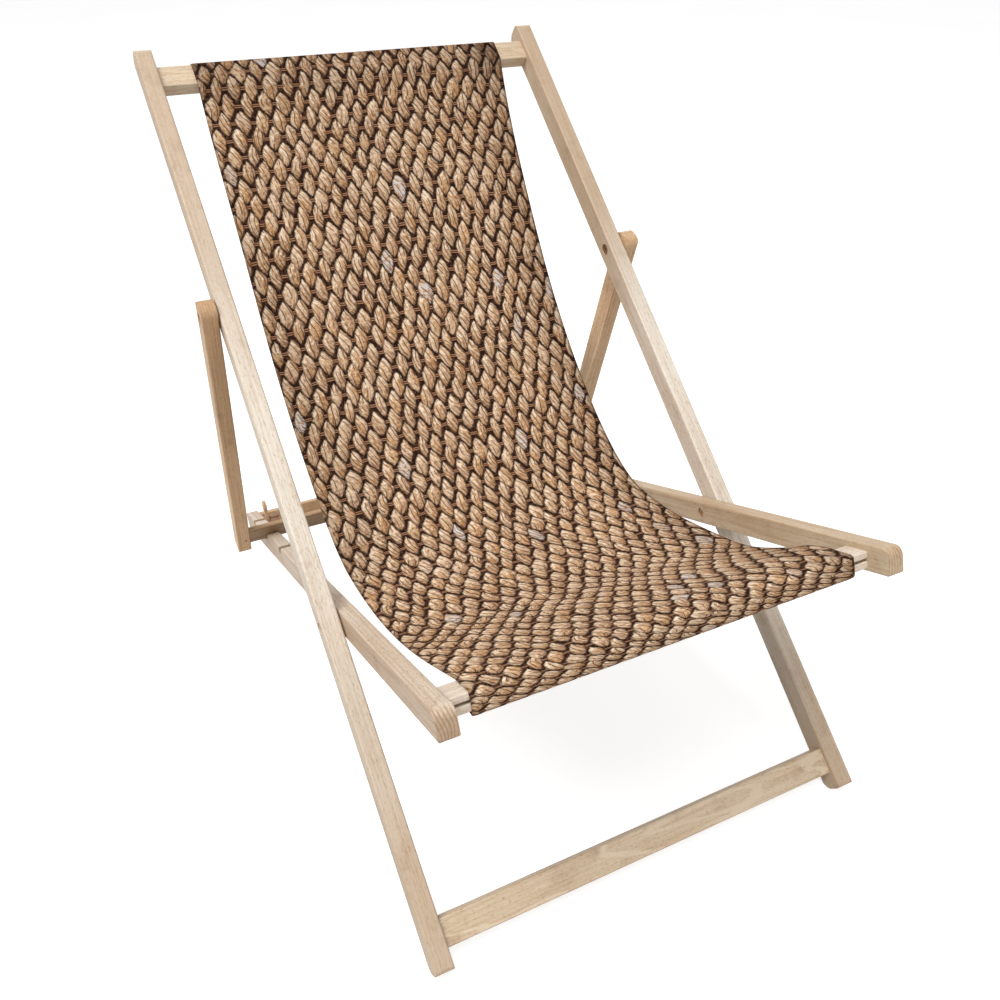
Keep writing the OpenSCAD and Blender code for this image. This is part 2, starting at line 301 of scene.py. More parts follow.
class BeechGrain(Group):
    """Beech: growth rings across X, grain along Y, with short dark flecks."""

    name = "beech_grain"
    inputs = (Port("Place", VECTOR), Port("Facing", VECTOR), Port("Light", COLOUR),
              Port("Dark", COLOUR), Port("Seed"), Port("Rings"), Port("Middle"),
              Port("Fade"), Port("Up"), Port("Sides"), Port("Figure"))
    outputs = (Port("Colour", COLOUR), Port("Roughness"), Port("Height"))

    ring = 3.4 * MM
    wander = 9.0 * MM
    slow_cells = (16, 2.6, 16)
    quick_cells = (60, 9, 60)
    streak_cells = (420, 7, 420)
    fleck_cells = (1500, 170, 1500)
    pore_cells = (2600, 2600, 2600)
    blush_cells = (22, 3, 22)
    # Darker tone reached by the real fade along a piece and by the painted side shade.
    fade_and_shade_deepening = srgb(232, 224, 210)
    blush = srgb(232, 196, 158)

    def build(self, graph: Graph, source: bpy.types.NodeOutputs) -> dict[str, Value]:
        """Adds rings, flecks, fine pores, slow changes of tone and painted shade on faces
        not looking up.
        """
        seed = graph.vector(*(graph.times(source["Seed"], k) for k in (1.0, 1.7, 2.3)))
        place = graph.shifted(source["Place"], seed)
        slow = graph.noise(place, self.slow_cells, 2.0, 0.45)
        quick = graph.noise(place, self.quick_cells, 2.0, 0.5)
        wander = graph.span(source["Figure"], self.wander * 2, self.wander * 6)
        depth = graph.total(graph.parts(place)[0], graph.times(slow, wander),
                            graph.times(quick, self.wander * 0.22))
        turn = graph.math("FRACT", graph.math("DIVIDE", depth, self.ring))
        late = graph.smooth(turn, 0.42, 0.93)
        back = graph.smooth(turn, 0.93, 1.0, 1.0, 0.0)
        band = graph.times(late, back)
        line = graph.times(graph.smooth(turn, 0.72, 0.86), back)
        figure = graph.times(line, graph.times(source["Figure"], -1.3))
        end = graph.smooth(graph.absolute(graph.parts(source["Facing"])[1]), 0.25, 0.9)
        strength = graph.times(source["Rings"], graph.span(end, 0.5, 1.25))
        away = graph.absolute(
            graph.minus(graph.parts(source["Place"])[1], source["Middle"]))
        reach = graph.smooth(graph.total(away, graph.times(slow, 0.3)), 0.2, 0.62)
        fade = graph.times(source["Fade"], reach)
        # Painted shade: faces that don't look up are darkened by the side shade amount.
        not_facing_up = graph.smooth(source["Up"], 0.3, 0.9, 1.0, 0.0)
        sides = graph.times(source["Sides"], not_facing_up)
        streak = graph.noise(place, self.streak_cells, 3.0, 0.6)
        fleck = graph.times(
            graph.smooth(graph.noise(place, self.fleck_cells, 1.0, 0.5), 0.58, 0.70),
            graph.minus(1.0, end))
        pores = graph.noise(place, self.pore_cells, 1.0)
        tone = graph.total(
            graph.times(band, strength),
            graph.times(graph.smooth(streak, 0.35, 0.7), 0.34),
            graph.times(fleck, 0.6), figure,
            graph.times(graph.smooth(slow, 0.3, 0.7), 0.26),
            graph.times(pores, end, 0.35))
        share = graph.math("MULTIPLY", tone, 1.0, clamp=True)
        # The real fade along the piece and the painted side shade both push the colour
        # towards the darker tones.
        fade_and_side_shade = graph.math("ADD", fade, sides, clamp=True)
        light = graph.mix(fade_and_side_shade, source["Light"], source["Dark"])
        deeper = graph.mix(1.0, source["Dark"], self.fade_and_shade_deepening, "MULTIPLY")
        dark = graph.mix(fade_and_side_shade, source["Dark"], deeper)
        colour = graph.mix(share, light, dark)
        warm = graph.smooth(graph.noise(place, self.blush_cells), 0.4, 0.75)
        colour = graph.mix(graph.times(warm, 0.12), colour, self.blush, "MULTIPLY")
        height = graph.total(graph.times(fleck, -0.6), graph.times(streak, 0.5),
                             graph.times(band, -0.25))
        return {"Colour": colour, "Height": height,
                "Roughness": graph.span(graph.smooth(streak, 0.3, 0.7), 0.46, 0.60)}


class HandlingWear(Group):
    """Faint rubbed and dusty patches, shared by wood, cloth and metal."""

    name = "handling_wear"
    inputs = (Port("Place", VECTOR), Port("Amount"))
    outputs = (Port("Rubbed"), Port("Dust"))

    def build(self, graph: Graph, source: bpy.types.NodeOutputs) -> dict[str, Value]:
        """Adds two patchy masks, each from 0 to Amount."""
        patch = graph.noise(source["Place"], (34, 34, 34), 4.0, 0.6)
        speck = graph.noise(source["Place"], (900, 900, 900), 2.0)
        rubbed = graph.times(graph.smooth(patch, 0.5, 0.75), source["Amount"])
        dust = graph.times(graph.smooth(speck, 0.62, 0.8), source["Amount"])
        return {"Rubbed": rubbed, "Dust": dust}


@dataclass(frozen=True)
class Leaf:
    """The print's lozenges and the lattice that they stand on, in millimetres."""

    column: float = 22.5
    row: float = 24.6
    half_width: float = 8.6
    half_length: float = 18.6
    roundness: float = 2.1
    thread_off: float = 1.35


class BasketPrint(Group):
    """The printed basket weave: staggered strand lozenges over dark gaps and threads."""

    name = "basket_print"
    inputs = (Port("Across"), Port("Along"))
    outputs = (Port("Colour", COLOUR), Port("Gap"))

    leaf = Leaf()
    bend = (8.0, 6.0)
    bend_cells = (0.011, 0.009, 1)
    jog = (3.4, 1.6)
    jog_cells = (0.05, 0.045, 1)
    grey_leaves = 0.984
    gap_deep = srgb(34, 19, 13)
    gap_strand = srgb(112, 78, 58)
    thread = srgb(156, 112, 84)
    rim = srgb(44, 25, 17)
    tan = srgb(181, 145, 111)
    pale = srgb(205, 174, 143)
    cream = srgb(241, 220, 194)
    amber = srgb(190, 144, 97)
    brown = srgb(114, 78, 54)
    grey = srgb(204, 200, 199)
    crease = srgb(42, 24, 17)

    def build(self, graph: Graph, source: bpy.types.NodeOutputs) -> dict[str, Value]:
        """Draws both staggered lattices and shades the nearer lozenge.

        The inputs are in millimetres, and Gap is 1 between the lozenges.
        """
        leaf = self.leaf
        place = graph.vector(source["Across"], source["Along"])
        bent = [source["Across"], source["Along"]]
        for cells, reach in ((self.bend_cells, self.bend), (self.jog_cells, self.jog)):
            moved = graph.parts(graph.noise(place, cells, 1.0, colour=True))
            bent = [graph.total(value, graph.span(part, -far, far))
                    for value, part, far in zip(bent, moved, reach)]
        across, along = bent
        column = graph.math("DIVIDE", across, leaf.column)
        row = graph.math("DIVIDE", along, leaf.row * 2)
        first = self.lozenge(graph, column, row, 0.0)
        second = self.lozenge(graph, column, row, 0.5)
        which = graph.math("GREATER_THAN", second[0], first[0])
        inside, x, y = (graph.pick(which, a, b) for a, b in zip(first[:3], second[:3]))
        luck = graph.mix(which, first[3], second[3])
        colour = self.strands(graph, inside, x, y, graph.parts(luck))
        over = graph.smooth(inside, -0.45, 0.45)
        return {"Colour": graph.mix(over, self.gaps(graph, along, across), colour),
                "Gap": graph.minus(1.0, over)}

    def lozenge(self, graph: Graph, column: Socket, row: Socket,
                stagger: float) -> tuple[Socket, Socket, Socket, Socket]:
        """Places the nearest lozenge of one lattice.

        Args:
            graph: where nodes are added.
            column: place across, in columns.
            row: place along, in pairs of rows.
            stagger: 0 for the first lattice and 0.5 for the one between.

        Returns:
            Depth inside the lozenge, place in it across and along, and its random values.
        """
        leaf = self.leaf
        cells = [graph.total(graph.math("FLOOR", graph.total(value, 0.5 - stagger)), stagger)
                 for value in (column, row)]
        luck = graph.chance(graph.vector(*cells, 0.37 + stagger))
        a, b, c = graph.parts(luck)
        x = graph.times(graph.minus(column, cells[0]), leaf.column)
        y = graph.times(graph.minus(row, cells[1]), leaf.row * 2)
        y = graph.total(y, graph.span(b, -1.4, 1.4))
        lean = graph.times(y, graph.span(c, -0.10, 0.07))
        x = graph.total(x, graph.span(a, -1.0, 1.0), lean)
        tip = graph.math("POWER", graph.math("DIVIDE", graph.absolute(y), leaf.half_length),
                         leaf.roundness)
        wide = graph.span(b, leaf.half_width - 1.1, leaf.half_width + 1.2)
        reach = graph.times(graph.minus(1.0, tip), wide)
        ragged = graph.noise(graph.vector(graph.times(x, 0.12), graph.times(y, 0.30),
                                          graph.times(c, 30.0)))
        reach = graph.total(reach, graph.span(ragged, -1.6, 1.6))
        return graph.minus(reach, graph.absolute(x)), x, y, luck

    def strands(self, graph: Graph, inside: Socket, x: Socket, y: Socket,
                luck: tuple[Socket, Socket, Socket]) -> Socket:
        """Colours one lozenge: its strands, fibres, creases, lit top and dark rim.

        Args:
            graph: where nodes are added.
            inside: depth inside the lozenge, in millimetres.
            x: place in it across.
            y: place in it along.
            luck: the lozenge's three random values.

        Returns:
            The lozenge's colour.
        """
        a, b, c = luck
        slant = graph.total(x, graph.times(y, graph.span(a, 0.0, 0.55)))
        slant = graph.total(slant, graph.times(y, y, graph.span(b, -0.02, 0.02)))
        pitch = graph.span(b, 5.0, 9.5)
        step = graph.total(graph.math("DIVIDE", slant, pitch), c)
        own_a, own_b, _ = graph.parts(graph.chance(graph.vector(
            graph.math("FLOOR", step), graph.times(a, 51.0), graph.times(b, 37.0))))
        fibre = graph.noise(graph.vector(
            graph.times(slant, 1.1), graph.times(y, 0.11),
            graph.times(graph.total(a, own_a), 40.0)), (), 3.0, 0.65)
        mottle = graph.noise(graph.vector(
            graph.times(slant, 0.34), graph.times(y, 0.22), graph.times(c, 70.0)),
            (), 2.0, 0.6)
        base = graph.mix(graph.smooth(own_a, 0.1, 0.9), self.tan, self.pale)
        base = graph.mix(graph.smooth(own_b, 0.45, 0.95, 0.0, 0.7), base, self.amber)
        lit = graph.total(graph.times(y, 0.030), graph.times(x, -0.035),
                          graph.span(fibre, -1.5, 1.5), graph.span(mottle, -1.2, 1.2))
        base = graph.mix(graph.smooth(lit, 0.05, 0.75, 0.0, 0.95), base, self.cream)
        base = graph.mix(graph.smooth(lit, -0.75, -0.05, 0.85, 0.0), base, self.brown)
        grey_spot = graph.times(
            graph.smooth(a, self.grey_leaves, self.grey_leaves + 0.006),
            graph.smooth(mottle, 0.42, 0.56))
        base = graph.mix(graph.times(grey_spot, 0.8), base, self.grey)
        fold = graph.absolute(graph.minus(graph.math("FRACT", step), 0.5))
        gap = graph.times(graph.minus(0.5, fold), pitch)
        line = graph.smooth(gap, 0.22, 0.75, 1.0, 0.0)
        broken = graph.smooth(graph.noise(graph.vector(
            graph.times(y, 0.12), graph.times(a, 9.0), graph.times(b, 9.0)), (), 1.0),
            0.34, 0.46)
        base = graph.mix(graph.times(line, broken, 0.92), base, self.crease)
        near = graph.times(graph.smooth(gap, 0.3, 2.2, 1.0, 0.0), broken)
        base = graph.mix(graph.times(near, 0.3), base, self.brown)
        round_off = graph.smooth(inside, -0.3, 2.9, 0.92, 0.0)
        return graph.mix(round_off, base, self.rim)

    def gaps(self, graph: Graph, along: Socket, across: Socket) -> Socket:
        """Colours what lies between the lozenges: shaded strands and pairs of threads.

        Args:
            graph: where nodes are added.
            along: the bent place along the cloth.
            across: the bent place across the cloth.

        Returns:
            The gap's colour.
        """
        under = graph.noise(graph.vector(graph.times(across, 0.55),
                                         graph.times(along, 0.16)), (), 2.0, 0.6)
        deep = graph.mix(graph.smooth(under, 0.46, 0.70, 0.0, 0.65), self.gap_deep,
                         self.gap_strand)
        turn = graph.math("FRACT", graph.total(
            graph.math("DIVIDE", along, self.leaf.row), 0.5))
        off = graph.absolute(graph.times(graph.minus(turn, 0.5), self.leaf.row))
        beside = graph.absolute(graph.minus(off, self.leaf.thread_off))
        deep = graph.mix(graph.smooth(off, 2.6, 4.2, 0.95, 0.0), deep, self.gap_deep)
        lines = graph.smooth(beside, 0.62, 0.98, 0.95, 0.0)
        return graph.mix(lines, deep, self.thread)


class ClothWeave(Group):
    """A plain weave's fine relief."""

    name = "cloth_weave"
    inputs = (Port("Across"), Port("Along"), Port("Pitch"))
    outputs = (Port("Height"),)

    def build(self, graph: Graph, source: bpy.types.NodeOutputs) -> dict[str, Value]:
        """Adds yarns that go over and under each other; the inputs are in millimetres."""
        waves = [graph.math("SINE", graph.times(
            graph.math("DIVIDE", source[name], source["Pitch"]), math.pi))
            for name in ("Across", "Along")]
        return {"Height": graph.span(graph.absolute(graph.times(*waves)), 0.0, 1.0)}


# Finishes


class Grain(Enum):
    """How a wooden piece's grain lies: the turn about X, and whether it runs across."""

    LONG_RAIL = (-39.5, False)
    LONG_CROSS = (-39.5, True)
    SEAT_RAIL = (21.34, False)
    SEAT_CROSS = (21.34, True)
    PROP_RAIL = (72.02, False)
    PROP_CROSS = (72.02, True)


@dataclass(frozen=True)
class WoodFinish:
    """Fine-sanded beech under a thin matt lacquer."""

    name: str
    light: Colour
    dark: Colour
    grain: Grain
    rings: float
    middle: float = 0.0
    fade: float = 0.0
    # sides: how strongly painted shade darkens the faces that don't look up.
    sides: float = 0.0
    figure: float = 0.0
    seed: float = 0.0

    def make(self, grain_group: BeechGrain, wear: HandlingWear) -> bpy.types.Material:
        """Builds the material.

        Args:
            grain_group: the beech grain.
            wear: the shared wear.

        Returns:
            The new material.
        """
        material, graph, shader = new_material(self.name)
        coordinates = graph.node("ShaderNodeTexCoord")
        turned = []
        angle, across = self.grain.value
        for name in ("Object", "Normal"):
            result = graph.node("ShaderNodeVectorRotate", {
                "Vector": coordinates.outputs[name], "Angle": math.radians(angle)},
                rotation_type="X_AXIS").outputs[0]
            if across:
                x, y, z = graph.parts(result)
                result = graph.vector(z, x, y)
            turned.append(result)
        grained = grain_group.place(graph, Place=turned[0], Facing=turned[1],
                                    Light=self.light, Dark=self.dark,
                                    Seed=self.seed, Rings=self.rings,
                                    Middle=self.middle, Fade=self.fade,
                                    Up=graph.parts(coordinates.outputs["Normal"])[2],
                                    Sides=self.sides, Figure=self.figure)
        worn = wear.place(graph, Place=coordinates.outputs["Object"], Amount=0.28)
        colour = graph.mix(worn["Rubbed"], grained["Colour"], self.dark, "MULTIPLY")
        rough = graph.total(grained["Roughness"], graph.times(worn["Dust"], 0.3))
        graph.fill(shader, Base_Color=colour, Roughness=rough, Coat_Weight=0.06,
                   Coat_Roughness=0.45, Specular_IOR_Level=0.35)
        bump(graph, shader, grained["Height"], 0.12, 0.25 * MM)
        return material


@dataclass(frozen=True)
class MetalFinish:
    """Dull plated steel."""

    name: str
    base: Colour
    stain: Colour
    roughness: float

    def make(self, wear: HandlingWear) -> bpy.types.Material:
        """Builds the material.

        Args:
            wear: the shared wear.

        Returns:
            The new material.
        """
        material, graph, shader = new_material(self.name)
        place = graph.node("ShaderNodeTexCoord").outputs["Object"]
        worn = wear.place(graph, Place=place, Amount=0.8)
        scratch = graph.noise(place, (1800, 260, 1800), 3.0, 0.6)
        colour = graph.mix(worn["Rubbed"], self.base, self.stain)
        rough = graph.span(scratch, self.roughness - 0.08, self.roughness + 0.16)
        graph.fill(shader, Base_Color=colour, Roughness=rough, Metallic=1.0)
        bump(graph, shader, scratch, 0.08, 0.1 * MM)
        return material


@dataclass(frozen=True)
class ClothFinish:
    """Heavy cloth with the basket print.

    Width and length are the print's, in metres. Turned is how much of its front end lies
    over the front edge, where the print slants by the share slant, more to the right.
    """

    name: str
    width: float
    length: float
    turned: float
    slant: float = 0.30
    slant_right: float = 0.10
    # Painted shade towards the cloth's top and its right side.
    painted_shade: Colour = srgb(150, 143, 139)
    rubbed: Colour = srgb(214, 190, 160)
    # Painted shade along the side hems, where the cloth folds under.
    hem_shade: Colour = srgb(60, 40, 30)

    def shaded(self, graph: Graph, colour: Socket, sides: tuple[Socket, Socket],
               top: Socket) -> Socket:
        """Paints shade on the print towards the cloth's top, most at its top corners, and
        along its right side.

        Args:
            graph: the material's graph.
            colour: the printed colour.
            sides: the distances to the nearer side and to the right one, in millimetres.
            top: the distance to the cloth's upper end, in millimetres.

        Returns:
            The shaded colour.
        """
        nearer, right = sides
        corner = graph.smooth(nearer, 0.0, 60.0, 1.0, 0.56)
        ends = graph.times(graph.smooth(top, 38.0, 150.0, 1.0, 0.0), corner)
        share = graph.total(ends, graph.smooth(right, 0.0, 80.0, 0.36, 0.0))
        return graph.mix(share, colour, self.painted_shade, "MULTIPLY")

    def make(self, print_group: BasketPrint, weave: ClothWeave,
             wear: HandlingWear) -> bpy.types.Material:
        """Builds the material; the cloth's UV runs from 0 to 1 over its flat cut.

        Args:
            print_group: the printed pattern.
            weave: the cloth's relief.
            wear: the shared wear.

        Returns:
            The new material.
        """
        material, graph, shader = new_material(self.name)
        coordinates = graph.node("ShaderNodeTexCoord")
        u, v, _ = graph.parts(coordinates.outputs["UV"])
        across = graph.times(u, self.width / MM)
        along = graph.times(v, self.length / MM)
        over = graph.math("MAXIMUM", graph.minus(self.turned / MM, along), 0.0)
        slant = graph.span(u, -self.slant + self.slant_right / 2,
                           -self.slant - self.slant_right / 2)
        slanted = graph.total(across, graph.times(over, slant))
        printed = print_group.place(graph, Across=slanted, Along=along)
        worn = wear.place(graph, Place=coordinates.outputs["Object"], Amount=0.2)
        colour = graph.mix(worn["Rubbed"], printed["Colour"], self.rubbed, "MULTIPLY")
        right = graph.minus(self.width / MM, across)
        top = graph.minus(self.length / MM, along)
        edge = graph.math("MINIMUM", across, right)
        colour = self.shaded(graph, colour, (edge, right), top)
        # Painted shade along both side edges of the cloth.
        colour = graph.mix(graph.smooth(edge, 0.0, 5.0, 0.45, 0.0), colour, self.hem_shade)
        relief = weave.place(graph, Across=across, Along=along, Pitch=0.8)["Height"]
        # Painted light and shade of the weave: the raised yarns are lightened a little.
        weave_lit = graph.mix(graph.times(relief, 0.12), colour, WHITE, "SOFT_LIGHT")
        graph.fill(shader, Base_Color=weave_lit, Specular_IOR_Level=0.06,
                   Roughness=graph.span(printed["Gap"], 0.74, 0.9))
        bump(graph, shader, relief, 0.15, 0.2 * MM)
        return material


def add_object(name: str, data: bpy.types.ID) -> bpy.types.Object:
    """Makes an object of its data and puts it in the scene."""
    made = bpy.data.objects.new(name, data)
    bpy.context.scene.collection.objects.link(made)
    return made


def new_material(name: str) -> tuple[bpy.types.Material, Graph, bpy.types.Node]:
    """Makes a bare material; returns it, its graph and its Principled shader."""
    material = bpy.data.materials.new(name)
    material.use_nodes = True
    material.node_tree.nodes.clear()
    graph = Graph(material.node_tree)
    shader = graph.node("ShaderNodeBsdfPrincipled")
    graph.node("ShaderNodeOutputMaterial", {"Surface": shader.outputs[0]})
    return material, graph, shader


def bump(graph: Graph, shader: bpy.types.Node, height: Socket,
         strength: float, distance: float) -> None:
    """Raises a shader's normal by a height.

    Args:
        graph: the material's graph.
        shader: the Principled shader.
        height: the height.
        strength: how much of it shows.
        distance: the height of 1, in metres.
    """
    made = graph.node("ShaderNodeBump", {"Strength": strength, "Distance": distance,
                                         "Height": height})
    graph.fill(shader, Normal=made.outputs[0])


def dress(frame: dict, names: Sequence[str], material: bpy.types.Material) -> None:
    """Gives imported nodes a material.

    Args:
        names: the nodes.
        material: their finish.
    """
    for name in names:
        piece = frame["nodes"][name]
        if not piece.material_slots:
            piece.data.materials.append(material)
        for slot in piece.material_slots:
            slot.material = material
        log.info("dressed %s in %s", name, material.name)


# The chair's side view


@dataclass(frozen=True)
class SideFrame:
    """A straight frame seen from the side: its axis's start and its rise above the floor."""

    start_y: float
    start_z: float
    rise: float

    def at(self, along: float, out: float) -> tuple[float, float]:
        """Returns y and z of a point, from its place along the axis and out of it."""
        cosine, sine = math.cos(math.radians(self.rise)), math.sin(math.radians(self.rise))
        return (self.start_y + along * cosine - out * sine,
                self.start_z + along * sine + out * cosine)


LONG_FRAME = SideFrame(start_y=-447.2125 * MM, start_z=5.4704 * MM, rise=39.5)
SEAT_FRAME = SideFrame(start_y=-152.4519 * MM, start_z=248.4523 * MM, rise=-21.34)


@dataclass(frozen=True)
class Strip:
    """A board's section: its edges along its frame, its faces out of it, its rounding."""

    lower: float
    upper: float
    under: float
    over: float
    rounding: float


@dataclass(frozen=True)
class Swell:
    """A soft bump along the cloth: its height, its middle and how far it spreads."""

    height: float
    middle: float
    spread: float

    def at(self, far: np.ndarray) -> np.ndarray:
        """Returns its height at distances from the cloth's front end."""
        return self.height * np.exp(-((far - self.middle) / self.spread) ** 2)


@dataclass(frozen=True)
class Ramp:
    """A soft step along the cloth, over its reach, which is negative towards the front."""

    height: float
    start: float
    reach: float

    def at(self, far: np.ndarray) -> np.ndarray:
        """Returns its height at distances from the cloth's front end."""
        share = np.clip((far - self.start) / self.reach, 0, 1)
        return self.height * (share ** 2 * (3 - 2 * share))


@dataclass
class Sling:
    """One cloth from behind the top board, down its sag, to under the front slats.

    Places along it are in metres from its front end. The sag passes through low, and
    slopes in degrees and reaches shape its two curves. At front top the cloth turns over
    the front edge. As photographed, it sways near the top, and its right side spreads,
    dips and rises beyond the level middle. The hem's fold thins out at its reach, in
    hems from the side. Crowding sets columns closer at the sides.
    """

    width: float = 0.430
    thickness: float = 1.3 * MM
    hem: float = 9.0 * MM
    hem_fold: float = 0.9 * MM
    hem_reach: float = 1.3
    edge_round: float = 1.5 * MM
    thinnest: float = 0.05
    clear: float = 1.5 * MM
    droop: float = 3.0 * MM
    low: tuple[float, float] = (-47.2125 * MM, 231.4704 * MM)
    slope_back: float = 71.6
    slope_front: float = 29.0
    reach_back: float = 0.217
    reach_front: float = 0.090
    reach_low_back: float = 0.122
    reach_low_front: float = 0.150
    board: Strip = Strip(1.100, 1.130, -0.011, 0.007, 2.0 * MM)
    slats: Strip = Strip(-0.2825, -0.2525, -0.0113, 0.0077, 1.6 * MM)
    front_top: float = 0.050
    front_fold: float = 0.008
    front_density: float = 3.1
    squeeze: Swell = Swell(0.80, 0.222, 0.034)
    gathers: tuple[Ramp, ...] = (Ramp(0.04, 0.73, -0.05), Ramp(0.13, 0.23, -0.05),
                                 Ramp(0.35, 0.105, -0.03), Ramp(0.20, 0.94, 0.06))
    edge_dip: Swell = Swell(7.5 * MM, 0.212, 0.062)
    edge_rise: Swell = Swell(4.0 * MM, 0.110, 0.026)
    level: float = 0.020
    fall: float = 1.6
    spread: float = 0.014
    spread_from: float = 0.120
    spread_over: float = 0.100
    sway: Swell = Swell(2.8 * MM, 0.93, 0.13)
    columns: int = 48
    crowding: float = 1.25
    row_step: float = 4.0 * MM
    points: np.ndarray = field(init=False)
    length: float = field(init=False)

    def __post_init__(self) -> None:
        """Works out the cloth's route and its length."""
        self.points = self.resampled(self.route())
        steps = np.linalg.norm(np.diff(self.points, axis=0), axis=1)
        self.length = float(steps.sum())

    @staticmethod
    def curve(handles: Sequence[Sequence[float]], count: int) -> list[tuple[float, float]]:
        """Returns points on a cubic curve.

        Args:
            handles: its four control points.
            count: how many steps it has.
        """
        result = []
        for i in range(count + 1):
            t = i / count
            u = 1 - t
            weights = (u ** 3, 3 * u * u * t, 3 * u * t * t, t ** 3)
            result.append(tuple(sum(w * p[k] for w, p in zip(weights, handles))
                                for k in (0, 1)))
        return result

    @staticmethod
    def bend(centre: tuple[float, float], radius: float, first: float, last: float,
             count: int = 8) -> list[tuple[float, float]]:
        """Returns points round an edge, from one angle to another."""
        angles = [math.radians(first + (last - first) * i / count)
                  for i in range(count + 1)]
        return [(centre[0] + radius * math.cos(a), centre[1] + radius * math.sin(a))
                for a in angles]

    def route(self) -> list[tuple[float, float]]:
        """Returns the cloth's middle line in the side view, front end first."""
        strip = self.slats
        edge, radius = strip.lower + strip.rounding, strip.rounding + self.clear
        wrap = [(strip.upper - 2 * MM, strip.under - self.clear),
                (strip.lower + 9 * MM, strip.under - self.droop / 2)]
        wrap += self.bend((edge, strip.under + strip.rounding - self.droop), radius,
                          -90, -180)
        wrap += self.bend((edge, strip.over - strip.rounding), radius, 180, 90)
        front = [SEAT_FRAME.at(*p) for p in wrap]
        start = SEAT_FRAME.at(strip.upper - 1 * MM, strip.over + self.clear)
        slope = math.radians(self.slope_front)
        lift = math.radians(self.slope_back)
        low_y, low_z = self.low
        strip = self.board
        top = LONG_FRAME.at(strip.lower + 1 * MM, strip.over + self.clear)
        dip = self.curve([
            start, (start[0] + self.reach_front * math.cos(slope),
                    start[1] - self.reach_front * math.sin(slope)),
            (low_y - self.reach_low_front, low_z), self.low], 60)
        rise = self.curve([
            self.low, (low_y + self.reach_low_back, low_z),
            (top[0] - self.reach_back * math.cos(lift),
             top[1] - self.reach_back * math.sin(lift)), top], 70)
        edge, radius = strip.upper - strip.rounding, strip.rounding + self.clear
        wrap = self.bend((edge, strip.over - strip.rounding), radius, 90, 0)
        wrap += self.bend((edge, strip.under + strip.rounding), radius, 0, -90)
        wrap += [(strip.lower + 4 * MM, strip.under - self.clear)]
        return front + dip + rise[1:] + [LONG_FRAME.at(*p) for p in wrap]

    def resampled(self, route: Sequence[tuple[float, float]]) -> np.ndarray:
        """Returns the route as evenly spaced points, without its doubled ones."""
        line = np.array(route)
        keep = np.r_[True, np.linalg.norm(np.diff(line, axis=0), axis=1) > 1e-6]
        line = line[keep]
        far = np.r_[0, np.cumsum(np.linalg.norm(np.diff(line, axis=0), axis=1))]
        count = int(round(far[-1] / self.row_step))
        places = np.linspace(0, far[-1], count + 1)
        return np.stack([np.interp(places, far, line[:, k]) for k in (0, 1)], axis=1)

    def printed_places(self) -> np.ndarray:
        """Returns each row's place in the print, in metres.

        The print is drawn denser at the front edge, a little behind it and at the top.
        """
        far = np.linspace(0, self.length, len(self.points))
        fold = Ramp(self.front_density, self.front_top + self.front_fold / 2,
                    -self.front_fold)
        density = 1.0 + self.squeeze.at(far) + fold.at(far)
        for gather in self.gathers:
            density += gather.at(far)
        return np.r_[0, np.cumsum((density[1:] + density[:-1]) / 2 * np.diff(far))]

    def layers(self, x: np.ndarray) -> np.ndarray:
        """Returns the points of the cloth's upper and lower side.

        Args:
            x: the columns' places across the flat cloth.

        Returns:
            Points by layer, row and column, with folded hems and slack side edges.
        """
        line = self.points
        tangent = np.gradient(line, axis=0)
        tangent /= np.linalg.norm(tangent, axis=1)[:, None]
        normal = np.stack([-tangent[:, 1], tangent[:, 0]], axis=1)
        edge = self.width / 2 - np.abs(x)
        fold = np.clip(self.hem_reach - edge / self.hem, 0, 1) ** 0.5
        off = np.clip(1 - edge / self.edge_round, 0, 1)
        round_edge = np.sqrt(np.clip(1 - off ** 2, self.thinnest, 1))
        half = self.thickness / 2
        depths = (half * round_edge, -(half + self.hem_fold * fold) * round_edge)
        far = np.linspace(0, self.length, len(line))
        slack = self.edge_dip.at(far) - self.edge_rise.at(far)
        right = np.clip((x - self.level) / (self.width / 2 - self.level), 0, 1)
        wider = np.clip((self.spread_from - far) / self.spread_over, 0, 1)
        wide = x[None] + wider[:, None] * (self.spread * np.clip(x, 0, None)[None])
        wide = wide + self.sway.at(far)[:, None]
        layers = []
        for depth in depths:
            y, z = (line[:, k][:, None] + normal[:, k][:, None] * depth[None]
                    for k in (0, 1))
            z = z - slack[:, None] * right[None] ** self.fall
            layers.append(np.stack([wide, y, z], axis=-1))
        return np.array(layers)

    @staticmethod
    def quads(rows: int, cols: int) -> list[list[tuple[int, int, int]]]:
        """Returns the closed sheet's faces, each corner as layer, row and column."""
        faces = []
        end, last = rows - 1, cols - 1
        for i in range(end):
            for j in range(last):
                faces.append([(0, i, j), (0, i, j + 1), (0, i + 1, j + 1), (0, i + 1, j)])
                faces.append([(1, i, j), (1, i + 1, j), (1, i + 1, j + 1), (1, i, j + 1)])
            faces.append([(0, i, 0), (0, i + 1, 0), (1, i + 1, 0), (1, i, 0)])
            faces.append([(0, i, last), (1, i, last), (1, i + 1, last), (0, i + 1, last)])
        for j in range(last):
            faces.append([(0, 0, j), (1, 0, j), (1, 0, j + 1), (0, 0, j + 1)])
            faces.append([(0, end, j), (0, end, j + 1), (1, end, j + 1), (1, end, j)])
        return faces

